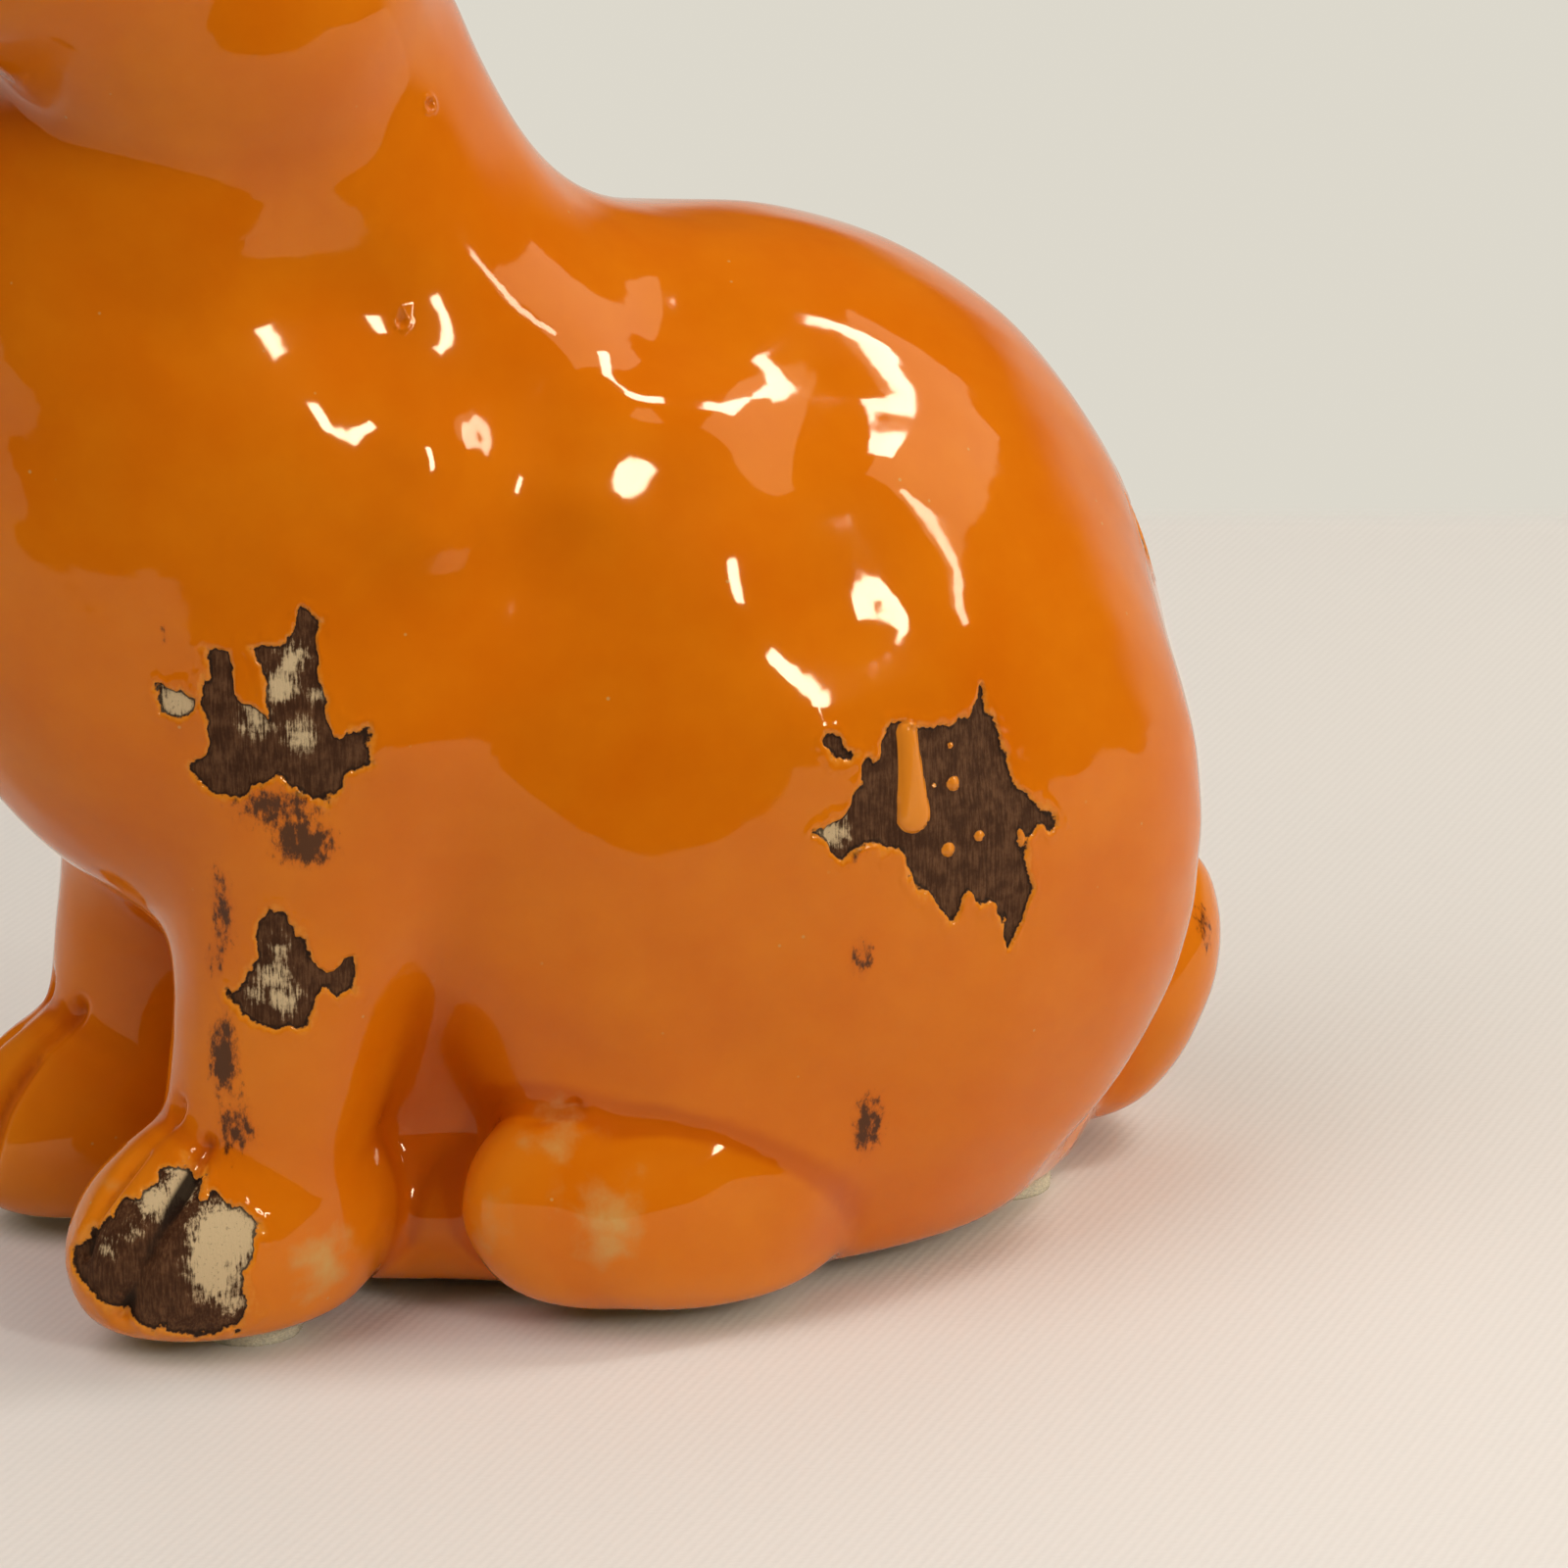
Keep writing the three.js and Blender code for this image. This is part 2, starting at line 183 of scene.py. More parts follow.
# Worn patches, where the glaze is missing. Each is drawn flat on a plane that touches the
# figure at a point and faces the given compass bearing and height, in degrees. The outline
# and the pale spots are across and up on that plane.
PATCHES = (
    dict(
        name="shoulder",
        at=(19.8, -26.5, 45.5),
        facing=(-25, 2),
        outline=(
            (-4.5, 4.5), (-3.0, 4.5), (-2.8, 1.5), (-0.7, 0.0), (-0.5, 2.0), (-1.5, 4.5),
            (0.5, 5.0), (1.5, 7.0), (3.0, 6.3), (2.5, 4.5), (3.2, 0.5), (4.0, -1.5),
            (6.0, -0.5), (6.0, -3.0), (4.5, -4.0), (3.0, -6.0), (0.0, -4.0), (-3.5, -6.0),
            (-6.0, -4.0), (-4.5, -2.0), (-5.0, 0.5),
        ),
        pale=(
            (0.3, 2.2, 1.0), (-1.4, -0.3, 0.9), (1.4, -1.3, 0.9), (1.2, 4.0, 0.7),
            (2.9, 1.7, 0.6),
        ),
    ),
    dict(
        name="shoulder speck",
        at=(16.6, -32.6, 46.4),
        facing=(-32, -4),
        outline=(
            (-1.0, 0.5), (-0.9, 1.1), (0.1, 1.0), (1.5, 0.1), (1.4, -0.6), (0.0, -1.0),
            (-1.0, -0.9),
        ),
        pale=((0.0, 0.0, 1.3),),
    ),
    dict(
        name="foreleg",
        at=(19.4, -25.8, 27.4),
        facing=(-24, -2),
        outline=(
            (-1.5, 5.0), (0.5, 3.5), (1.5, 0.5), (3.0, 0.6), (4.0, 1.2), (4.0, -1.5),
            (2.0, -1.0), (1.0, -3.5), (-2.0, -3.5), (-3.5, -3.0), (-4.0, -1.5), (-2.5, 0.5),
            (-2.5, 2.5),
        ),
        pale=((-0.9, 2.2, 0.4), (-1.2, 0.2, 0.9), (-0.6, -1.6, 0.9), (-2.4, -1.4, 0.5)),
    ),
    dict(
        name="haunch",
        at=(29.3, 17.0, 35.5),
        facing=(5, 4),
        outline=(
            (3.0, 8.6), (4.5, 4.0), (5.5, 1.5), (7.5, 0.0), (8.6, -1.6), (5.5, -1.6),
            (6.6, -5.5), (5.9, -7.5), (4.7, -9.4), (4.2, -7.0), (1.5, -5.0), (0.5, -7.1),
            (-2.5, -4.0), (-3.5, -1.5), (-6.0, -0.5), (-8.0, -1.5), (-9.6, 0.5), (-7.0, 2.0),
            (-6.0, 4.5), (-4.0, 7.5), (-1.0, 6.5), (2.0, 7.0),
        ),
        pale=((-8.6, 0.4, 1.1),),
    ),
    dict(
        name="haunch speck",
        at=(29.1, 9.1, 41.5),
        facing=(-4, 9),
        outline=((-1.1, 0.7), (0.0, 1.1), (0.4, 0.1), (1.3, -0.5), (0.9, -1.0), (-0.1, -0.7)),
        pale=(),
    ),
    dict(
        name="paw",
        at=(17.3, -33.4, 9.1),
        facing=(-33, 14),
        outline=(
            (-4.0, 2.5), (-7.5, -1.0), (-7.5, -2.5), (-5.0, -4.5), (-3.0, -5.6), (1.0, -6.6),
            (3.5, -6.1), (5.0, -4.5), (4.5, -2.0), (5.5, 0.5), (5.4, 1.6), (2.5, 3.5),
            (1.5, 3.0), (1.5, 4.6), (0.1, 5.6), (-1.5, 4.5), (-2.0, 3.5),
        ),
        pale=(
            (3.4, 0.6, 2.5), (2.7, -1.8, 1.9), (0.2, 4.3, 1.2), (-1.5, 3.0, 1.2), (3.6, -3.8, 0.8),
            (-4.6, -0.4, 0.5), (-3.0, 0.8, 0.3),
        ),
    ),
    dict(
        name="right haunch",
        at=(-28.6, 9.0, 44.0),
        facing=(178, 12),
        outline=(
            (-6.5, 1.0), (-4.0, 2.2), (-3.4, 5.4), (-1.4, 3.4), (1.0, 3.8), (2.2, 6.6),
            (3.2, 2.6), (6.6, 1.4), (4.2, -1.4), (4.6, -4.6), (1.6, -3.4), (-0.8, -6.4),
            (-1.8, -2.8), (-5.0, -2.6),
        ),
        pale=((-2.0, 0.8, 1.2), (2.4, -0.6, 0.9)),
    ),
    dict(
        name="right shoulder",
        at=(-20.6, -22.0, 50.0),
        facing=(201, 8),
        outline=(
            (-3.4, 3.2), (-0.8, 2.2), (1.6, 4.4), (2.4, 1.2), (4.4, 0.2), (2.2, -1.6),
            (1.4, -4.6), (-0.6, -2.4), (-3.6, -3.2), (-2.6, -0.4),
        ),
        pale=((0.2, 0.4, 1.1),),
    ),
    dict(
        name="rump",
        at=(9.0, 41.0, 48.0),
        facing=(72, 32),
        outline=(
            (-3.6, 0.4), (-2.0, 2.4), (0.4, 1.6), (2.4, 3.6), (3.2, 0.6), (1.8, -1.4),
            (2.2, -3.8), (-0.4, -2.4), (-2.6, -2.8),
        ),
        pale=((0.4, 0.2, 0.9),),
    ),
    dict(
        name="ear tip",
        at=(15.6, -18.6, 156.0),
        facing=(-20, 30),
        outline=((-1.6, 0.4), (-0.4, 2.4), (1.4, 1.2), (2.0, -1.6), (0.4, -3.4), (-0.8, -1.4)),
        pale=((0.3, 0.2, 0.7),),
    ),
    dict(
        name="brow",
        at=(-9.6, -42.6, 118.0),
        facing=(-115, 42),
        outline=((-2.2, 0.2), (-0.6, 1.6), (1.0, 0.8), (2.4, 1.4), (1.8, -0.8), (0.0, -1.8)),
        pale=((0.2, 0.0, 0.8),),
    ),
)
PATCH_REACH = 13.0
PATCH_THICK = 9.0
BARE_DEPTH = 0.28
EDGE_WIDTH = 0.32
LIP_HEIGHT = 0.06
LIP_MIDDLE = 0.45
LIP_WIDTH = 0.35
RAGGED_COARSE = dict(rise=0.3, size=0.9, seed=3)
RAGGED_FINE = dict(rise=0.12, size=0.35, seed=4)

# Glaze that ran over the haunch patch, on its plane: a drip and small beads, with radius.
DRIP = dict(start=(-2.9, 6.6), end=(-2.6, 0.9), radii=(0.75, 1.25), height=0.55)
DRIP_SHOULDER = 0.9
BEADS = ((0.5, 2.6, 0.5), (0.0, -1.9, 0.5), (2.4, -1.3, 0.38), (0.4, 5.2, 0.22), (-1.0, 2.7, 0.18))
PINHOLES = (((16.7, -16.0, 70.2), 0.3, 0.25), ((12.3, -12.8, 83.3), 0.35, 0.35))

# Brown stain rubbed into the glaze: middle, half-lengths along and up, strength.
SMEARS = (
    ((20.6, -25.2, 36.8), 2.2, 1.6, 1.05),
    ((19.8, -26.9, 39.4), 3.2, 1.6, 0.7),
    ((16.9, -29.9, 31.5), 1.1, 3.2, 0.75),
    ((16.2, -30.2, 28.0), 0.9, 1.2, 1.0),
    ((17.0, -29.9, 21.6), 1.2, 3.2, 1.05),
    ((17.9, -29.4, 16.8), 1.4, 2.2, 0.75),
    ((30.1, 10.6, 26.8), 1.0, 1.5, 0.8),
    ((27.3, 12.2, 14.4), 1.2, 3.0, 1.0),
    ((29.6, 9.8, 34.4), 1.0, 0.8, 0.5),
    ((16.6, -32.8, 51.0), 0.35, 0.7, 1.1),
    ((6.6, 48.0, 17.6), 0.9, 2.9, 0.8),
    ((-26.5, 20.0, 24.0), 0.9, 2.4, 0.8),
    ((-17.5, -29.0, 22.0), 0.9, 2.6, 0.8),
    ((-18.0, -30.6, 8.0), 2.0, 1.2, 0.8),
    ((-6.0, 46.0, 22.0), 1.4, 0.8, 0.6),
)

# Glaze so thin that the clay shows a little: middle, reach, strength.
THIN_SPOTS = (
    ((24.8, -5.6, 9.4), 4.4, 0.8),
    ((21.6, -12.4, 9.4), 3.2, 0.7),
    ((23.0, -8.4, 14.6), 3.6, 0.6),
    ((19.9, -24.2, 7.4), 3.8, 0.75),
    ((18.2, -25.6, 14.6), 1.6, 0.4),
    ((-23.4, -7.0, 9.6), 4.6, 0.8),
    ((-18.6, -31.0, 9.0), 4.0, 0.6),
    ((0.0, 49.5, 15.0), 4.0, 0.5),
    ((12.5, -38.0, 13.5), 2.6, 0.55),
)

# The distance given to points that a detail doesn't reach.
FAR = 6.0

# ------------------------------------------------------------------ distance rules


def joined(a, b, soft):
    """The smaller of two distances, with a fillet where they are nearly equal."""
    near = np.maximum(soft - np.abs(a - b), 0) / soft
    return np.minimum(a, b) - near**3 * soft / 6


def cut_off(a, b, soft):
    """The larger of two distances, with a rounded edge."""
    return -joined(-a, -b, soft)


def on_its_side(points, mass):
    """The points, with X taken to the positive side for a mass that is made twice."""
    if not mass.get("pair"):
        return points
    folded = points.copy()
    folded[..., 0] = np.abs(folded[..., 0])
    return folded


def mass_distance(points, mass):
    """How far points are from an egg-shaped mass or a tapering limb."""
    q = on_its_side(points, mass)
    if "start" in mass:
        start = np.array(mass["start"], points.dtype)
        run = np.array(mass["end"], points.dtype) - start
        t = np.clip(((q - start) @ run) / (run @ run), 0, 1)
        gap = np.sqrt(((q - start - t[..., None] * run) ** 2).sum(-1))
        first, last = mass["radii"]
        return gap - (first + (last - first) * t)
    turn = Matrix.Rotation(math.radians(mass.get("turn", 0)), 3, "Z")
    lean = Matrix.Rotation(math.radians(mass.get("lean", 0)), 3, "Y")
    tilt = Matrix.Rotation(math.radians(mass.get("tilt", 0)), 3, "X")
    q = (q - np.array(mass["at"], points.dtype)) @ np.array(turn @ lean @ tilt, points.dtype)
    half = np.array(mass["half"], points.dtype)
    k0 = np.sqrt(((q / half) ** 2).sum(-1)) + 1e-9
    k1 = np.sqrt(((q / half**2) ** 2).sum(-1)) + 1e-9
    return k0 * (k0 - 1) / k1


def pressed(points, masses):
    """The masses pressed together, in order."""
    total = mass_distance(points, masses[0])
    for mass in masses[1:]:
        total = joined(total, mass_distance(points, mass), mass["blend"])
    return total


def figure(points):
    """The whole rabbit: below zero inside, zero on its skin."""
    d = joined(pressed(points, TRUNK), pressed(points, HEAD), HEAD_BLEND)
    ear = cut_off(mass_distance(points, EAR), -mass_distance(points, EAR_HOLLOW), EAR_RIM)
    d = joined(d, ear, EAR_BLEND)
    for mass in LOWER:
        d = joined(d, mass_distance(points, mass), mass["blend"])
    d = cut_off(d, UNDERSIDE - TRIM - points[..., 2], RIM_ROUNDING)
    across = np.hypot(points[..., 0], points[..., 1] - VENT_Y) - VENT_RADIUS
    vent = np.maximum(across, points[..., 2] - UNDERSIDE - VENT_DEPTH)
    return cut_off(d, -vent, VENT_ROUNDING)


def slope(rule, points, step):
    """The gradient of a rule at each point."""
    found = np.empty_like(points)
    for axis in range(3):
        ahead, behind = points.copy(), points.copy()
        ahead[:, axis] += step
        behind[:, axis] -= step
        found[:, axis] = (rule(ahead) - rule(behind)) / (2 * step)
    return found


def unit(vectors):
    """Vectors of length one."""
    return vectors / np.maximum(np.linalg.norm(vectors, axis=-1, keepdims=True), 1e-9)


# ------------------------------------------------------------------ detail on the skin


def plane_axes(facing):
    """The outward direction, the across direction and the up direction of a tangent plane."""
    bearing, height = (math.radians(a) for a in facing)
    out = np.array(
        (
            math.cos(bearing) * math.cos(height),
            math.sin(bearing) * math.cos(height),
            math.sin(height),
        )
    )
    across = np.array((-math.sin(bearing), math.cos(bearing), 0.0))
    return out, across, np.cross(out, across)


def on_plane(points, patch):
    """Points as (across, up, out) on a patch's plane."""
    out, across, up = plane_axes(patch["facing"])
    q = points - np.array(patch["at"])
    return np.stack([q @ across, q @ up, q @ out], -1)


def run_distance(points, start, end):
    """Distance to a straight run, and how far along it the nearest place is."""
    start = np.array(start, float)
    run = np.array(end, float) - start
    t = np.clip(((points - start) @ run) / (run @ run), 0, 1)
    return np.linalg.norm(points - start - t[:, None] * run, axis=1), t


def reached(q):
    """Which points, as (across, up, out), are near enough to belong to a patch."""
    return (np.hypot(q[:, 0], q[:, 1]) < PATCH_REACH) & (np.abs(q[:, 2]) < PATCH_THICK)


def outline_distance(flat, outline):
    """Signed distance to a closed outline, below zero inside."""
    corners = np.array(outline, float)
    inside = np.zeros(len(flat), bool)
    nearest = np.full(len(flat), 1e9)
    for a, b in zip(corners, np.roll(corners, -1, axis=0)):
        nearest = np.minimum(nearest, run_distance(flat, a, b)[0])
        spans = (a[1] > flat[:, 1]) != (b[1] > flat[:, 1])
        rise = b[1] - a[1] if b[1] != a[1] else 1e-9
        inside ^= spans & (flat[:, 0] < a[0] + (b - a)[0] * (flat[:, 1] - a[1]) / rise)
    return np.where(inside, -nearest, nearest)


def ripple(points, size, seed):
    """A smooth uneven value from -1 to 1 with bumps of about the given size."""
    rng = np.random.default_rng(seed)
    total = np.zeros(len(points))
    for _ in range(6):
        direction = unit(rng.normal(size=3)) * rng.uniform(0.7, 1.5) * 2 * math.pi / (2 * size)
        total += np.sin(points @ direction + rng.uniform(0, 2 * math.pi))
    return total / 3.2


def line_distance(points, line):
    """Distance to a line of points."""
    nearest = np.full(len(points), 1e9)
    for start, end in zip(line, line[1:]):
        nearest = np.minimum(nearest, run_distance(points, start, end)[0])
    return nearest


def mirrored(points):
    """The points on the figure's left side."""
    return np.abs(points[:, :1]) * (1, 0, 0) + points * (0, 1, 1)


def bare_distance(points):
    """Signed distance to the nearest worn patch's ragged edge, below zero on the patch."""
    nearest = np.full(len(points), FAR)
    for patch in PATCHES:
        q = on_plane(points, patch)
        near = reached(q)
        if near.any():
            edge = outline_distance(q[near, :2], patch["outline"])
            edge += sum(
                rag["rise"] * ripple(points[near], rag["size"], rag["seed"])
                for rag in (RAGGED_COARSE, RAGGED_FINE)
            )
            nearest[near] = np.minimum(nearest[near], edge)
    return nearest


def pale_spots(points):
    """How far each point is inside a spot where the stain has worn off the clay."""
    deepest = np.full(len(points), -2.0)
    for patch in PATCHES:
        q = on_plane(points, patch)
        near = reached(q)
        for across, up, radius in patch["pale"]:
            inside = radius - np.hypot(q[near, 0] - across, q[near, 1] - up)
            deepest[near] = np.maximum(deepest[near], inside)
    return deepest


def haunch_patch():
    """The patch that the drip and the beads lie on."""
    return next(p for p in PATCHES if p["name"] == "haunch")


def drip_distance(points):
    """Signed distance to the drip and the beads, seen flat on the haunch patch."""
    q = on_plane(points, haunch_patch())
    flat = q[:, :2]
    first, last = DRIP["radii"]
    found, t = run_distance(flat, DRIP["start"], DRIP["end"])
    found = found - (first + (last - first) * t**1.5)
    for across, up, radius in BEADS:
        found = np.minimum(found, np.hypot(flat[:, 0] - across, flat[:, 1] - up) - radius)
    return np.where(np.abs(q[:, 2]) < PATCH_THICK, found, FAR)


def dome(distance, width):
    """1 well inside an outline, falling to 0 on it as a bead does."""
    t = np.clip(-distance / width, 0, 1)
    return np.sqrt(1 - (1 - t) ** 2)


def step_down(distance, width):
    """1 inside an outline and 0 outside, with a soft step of the given width."""
    t = np.clip(0.5 - distance / width, 0, 1)
    return t * t * (3 - 2 * t)


def groove_depth(points, grooves):
    """How deep the pressed grooves are at each point."""
    depth = np.zeros(len(points))
    side = mirrored(points)
    for line, half_width, deepest in grooves:
        gap = line_distance(side, line) / half_width
        depth = np.maximum(depth, deepest * np.exp(-(gap**2)))
    return depth


def eye_ring(points):
    """Distance to the line pressed around each eye."""
    out, across, up = plane_axes(EYE_RING["facing"])
    q = mirrored(points) - np.array(EYE_RING["at"])
    around = np.hypot(q @ across, q @ up * 1.12)
    return np.where(np.abs(q @ out) < 4, np.abs(around - EYE_RING["radius"]), FAR)


def bump_at(points, middle, reach):
    """1 at a place, fading out around it."""
    return np.exp(-((points - np.array(middle)) ** 2).sum(1) / reach**2)


def relief(points):
    """Height of the finished glaze over the masses."""
    height = np.zeros(len(points))
    for middle, reach, rise in SWELLS:
        height += rise * bump_at(points, middle, reach)
    height += 0.10 * ripple(points, 7.0, 11) + 0.03 * ripple(points, 2.6, 12)
    height -= groove_depth(points, TOE_GROOVES + HIND_CREASES + FACE_GROOVES)
    height -= EYE_RING["depth"] * np.exp(-((eye_ring(points) / EYE_RING["width"]) ** 2))
    middle, reach, rise = NOSE
    height += rise * bump_at(points, middle, reach)
    for middle, radius, depth in PINHOLES:
        gap = np.linalg.norm(points - np.array(middle), axis=1) / radius
        height += depth * (0.35 * np.exp(-((gap - 1.6) ** 2) * 3) - np.exp(-(gap**2)))
    bare = bare_distance(points)
    drip = drip_distance(points)
    height -= BARE_DEPTH * step_down(bare, EDGE_WIDTH)
    height += LIP_HEIGHT * np.exp(-(((bare - LIP_MIDDLE) / LIP_WIDTH) ** 2))
    height += DRIP["height"] * dome(drip, DRIP_SHOULDER) * (drip < 0)
    above = np.clip((points[:, 2] - UNDERSIDE - 0.4) / UNDER_FADE, 0, 1)
    return height * above


# ------------------------------------------------------------------ skin of the figure


def surface_nets(rule, low, high, cell):
    """Draws the surface where a rule is zero: one point for each grid cell it crosses and
    one four-sided face for each grid edge it crosses."""
    count = [int(math.ceil((h - l) / cell)) + 1 for l, h in zip(low, high)]
    lines = [(l + cell * np.arange(n)).astype(np.float32) for l, n in zip(low, count)]
    value = np.empty(count, np.float32)
    for first in range(0, count[0], SLAB):
        slab = slice(first, first + SLAB)
        grid = np.meshgrid(lines[0][slab], lines[1], lines[2], indexing="ij")
        value[slab] = rule(np.stack(grid, -1))
    inside = value < 0
    corners = [(a, b, c) for a in (0, 1) for b in (0, 1) for c in (0, 1)]
    nx, ny, nz = (n - 1 for n in count)
    filled = sum(inside[a : nx + a, b : ny + b, c : nz + c].astype(np.int8) for a, b, c in corners)
    i, j, k = np.nonzero((filled > 0) & (filled < 8))
    index = np.full((nx, ny, nz), -1, np.int64)
    index[i, j, k] = np.arange(len(i))
    total, crossings = np.zeros((len(i), 3)), np.zeros(len(i))
    for corner in corners:
        for axis in range(3):
            if corner[axis]:
                continue
            other = list(corner)
            other[axis] = 1
            va = value[i + corner[0], j + corner[1], k + corner[2]]
            vb = value[i + other[0], j + other[1], k + other[2]]
            crossed = (va < 0) != (vb < 0)
            point = np.tile(np.array(corner, float), (len(i), 1))
            point[:, axis] = va / np.where(crossed, va - vb, 1)
            total[crossed] += point[crossed]
            crossings[crossed] += 1
    origin = np.stack([lines[0][i], lines[1][j], lines[2][k]], -1)
    points = origin + total / crossings[:, None] * cell
    faces = []
    for axis in range(3):
        near = [slice(None)] * 3
        far = [slice(None)] * 3
        near[axis], far[axis] = slice(0, -1), slice(1, None)
        edge = np.stack(np.nonzero(inside[tuple(near)] != inside[tuple(far)]), -1)
        u, w = (axis + 1) % 3, (axis + 2) % 3
        ring = []
        for back_u, back_w in ((1, 1), (0, 1), (0, 0), (1, 0)):
            cell_at = edge.copy()
            cell_at[:, u] -= back_u
            cell_at[:, w] -= back_w
            ring.append(index[tuple(cell_at.T)])
        ring = np.stack(ring, -1)
        outward = inside[tuple(edge.T)]
        ring[~outward] = ring[~outward][:, ::-1]
        faces.append(ring)
    return points, np.concatenate(faces)


def settled(points, passes=4):
    """The points, moved onto the figure's skin along its steepest slope."""
    for _ in range(passes):
        gradient = slope(figure, points, SKIN_STEP)
        size = np.maximum((gradient**2).sum(1), 0.2)
        move = np.clip(figure(points) / size, -0.6, 0.6)
        points = points - move[:, None] * gradient
    points[:, 2] = np.maximum(points[:, 2], np.where(in_vent(points), -FAR, UNDERSIDE))
    return points


def in_vent(points):
    """Whether points are in the drain hole."""
    return np.hypot(points[:, 0], points[:, 1] - VENT_Y) < VENT_RADIUS - 0.3


def needs_detail(points):
    """Whether the skin needs small faces here."""
    side = mirrored(points)
    wanted = np.abs(bare_distance(points)) < 1.1
    wanted |= np.abs(drip_distance(points)) < 1.3
    for line, half_width, _ in TOE_GROOVES + HIND_CREASES + FACE_GROOVES:
        wanted |= line_distance(side, line) < half_width * 2.4
    wanted |= eye_ring(points) < 1.3
    for middle, radius, _ in PINHOLES:
        wanted |= np.linalg.norm(points - np.array(middle), axis=1) < radius * 3
    around_vent = np.hypot(points[:, 0], points[:, 1] - VENT_Y) < VENT_RADIUS + 1.2
    return wanted | (around_vent & (points[:, 2] < UNDERSIDE + VENT_DEPTH + 1.5))


def fine_skin(cell):
    """The figure's skin as a bmesh, with smaller faces where there is detail."""
    points, faces = surface_nets(figure, *GRID_BOX, cell)
    points = settled(points)
    bm = bmesh.new()
    verts = [bm.verts.new(p) for p in points]
    for ring in faces:
        bm.faces.new([verts[v] for v in ring])
    bm.verts.index_update()
    bm.faces.ensure_lookup_table()
    middles = np.array([f.calc_center_median() for f in bm.faces])
    wanted = needs_detail(middles)
    edges = {e for f, want in zip(bm.faces, wanted) if want for e in f.edges}
    order = sorted(edges, key=lambda e: e.index)
    bmesh.ops.subdivide_edges(bm, edges=order, cuts=3, use_grid_fill=True)
    bmesh.ops.triangulate(bm, faces=bm.faces[:])
    return bm


def set_numbers(mesh, name, values):
    """Stores one number for each point of a mesh."""
    layer = mesh.attributes.new(name, "FLOAT", "POINT")
    layer.data.foreach_set("value", np.asarray(values, np.float32))


def rubbed_stain(points):
    """Strength of the brown stain rubbed into the glaze."""
    found = np.full(len(points), -1.0)
    for (x, y, z), along, up, strength in SMEARS:
        side = np.hypot(points[:, 0] - x, points[:, 1] - y) / along
        gap = np.hypot(side, (points[:, 2] - z) / up)
        found = np.maximum(found, strength * (1.25 - gap))
    return found


def thin_glaze(points):
    """How thin the glaze is, from 0 to about 1."""
    found = np.zeros(len(points))
    for middle, reach, strength in THIN_SPOTS:
        found = np.maximum(found, strength * bump_at(points, middle, reach))
    return found


def glaze_pool(points):
    """Above zero in hollows where glaze gathers, below zero on ridges where it runs thin."""
    total = -6 * figure(points)
    for axis in range(3):
        for step in (-1.4, 1.4):
            moved = points.copy()
            moved[:, axis] += step
            total += figure(moved)
    return np.clip(-total, -1, 1)


def toe_lines(points):
    """Depth of the grooves of the paws and hind feet, which stain collects in."""
    return groove_depth(points, TOE_GROOVES + HIND_CREASES)


def near_table(points):
    """1 on the underside, falling to 0 just above it."""
    return np.clip((UNDERSIDE + UNDER_FADE - points[:, 2]) / UNDER_FADE, 0, 1)


# The numbers that the glaze is painted by, each stored on the mesh under its name.
GLAZE_RULES = {
    "bare": bare_distance,
    "pale": pale_spots,
    "drip": drip_distance,
    "stain": rubbed_stain,
    "thin": thin_glaze,
    "pool": glaze_pool,
    "groove": toe_lines,
    "underside": near_table,
}

# ------------------------------------------------------------------ node wiring


class Wire:
    """One value in a node tree. Python's operators on wires add Math nodes."""

    def __init__(self, tree, socket=None):
        self.tree = tree
        self.socket = socket

    def node(self, kind, settings=None, values=None, out=0):
        """Adds a node, sets it up, then fills its sockets with numbers or wires."""
        made = self.tree.nodes.new(kind)
        for name, value in (settings or {}).items():
            setattr(made, name, value)
        for key, value in (values or {}).items():
            if isinstance(value, Wire):
                self.tree.links.new(value.socket, made.inputs[key])
            else:
                made.inputs[key].default_value = value
        return Wire(self.tree, made.outputs[out])

    def math(self, operation, *terms):
        """Adds a Math node."""
        return self.node("ShaderNodeMath", {"operation": operation}, dict(enumerate(terms)))

    def vector(self, operation, *terms, out=0):
        """Adds a Vector Math node. Its second term is a number only when it scales."""
        values = dict(enumerate(terms))
        if operation == "SCALE":
            values["Scale"] = values.pop(1)
        return self.node("ShaderNodeVectorMath", {"operation": operation}, values, out)

    def __add__(self, other):
        return self.math("ADD", self, other)

    def __sub__(self, other):
        return self.math("SUBTRACT", self, other)

    def __rsub__(self, other):
        return self.math("SUBTRACT", other, self)

    def __mul__(self, other):
        return self.math("MULTIPLY", self, other)

    def __neg__(self):
        return self.math("MULTIPLY", self, -1)

    __radd__ = __add__
    __rmul__ = __mul__

    def between(self, low, high):
        """0 at or below low, 1 at or above high, smooth between them."""
        kind = {"interpolation_type": "SMOOTHSTEP"}
        return self.node("ShaderNodeMapRange", kind, {0: self, 1: low, 2: high, 3: 0, 4: 1})

    def over(self, colour, below):
        """Lays a colour over another, by this wire's strength."""
        values = {0: self, 6: rgba(below), 7: rgba(colour)}
        return self.node("ShaderNodeMix", {"data_type": "RGBA"}, values, out=2)


def rgba(colour):
    """A colour as a socket takes it."""
    return colour if isinstance(colour, Wire) else (*colour, 1)


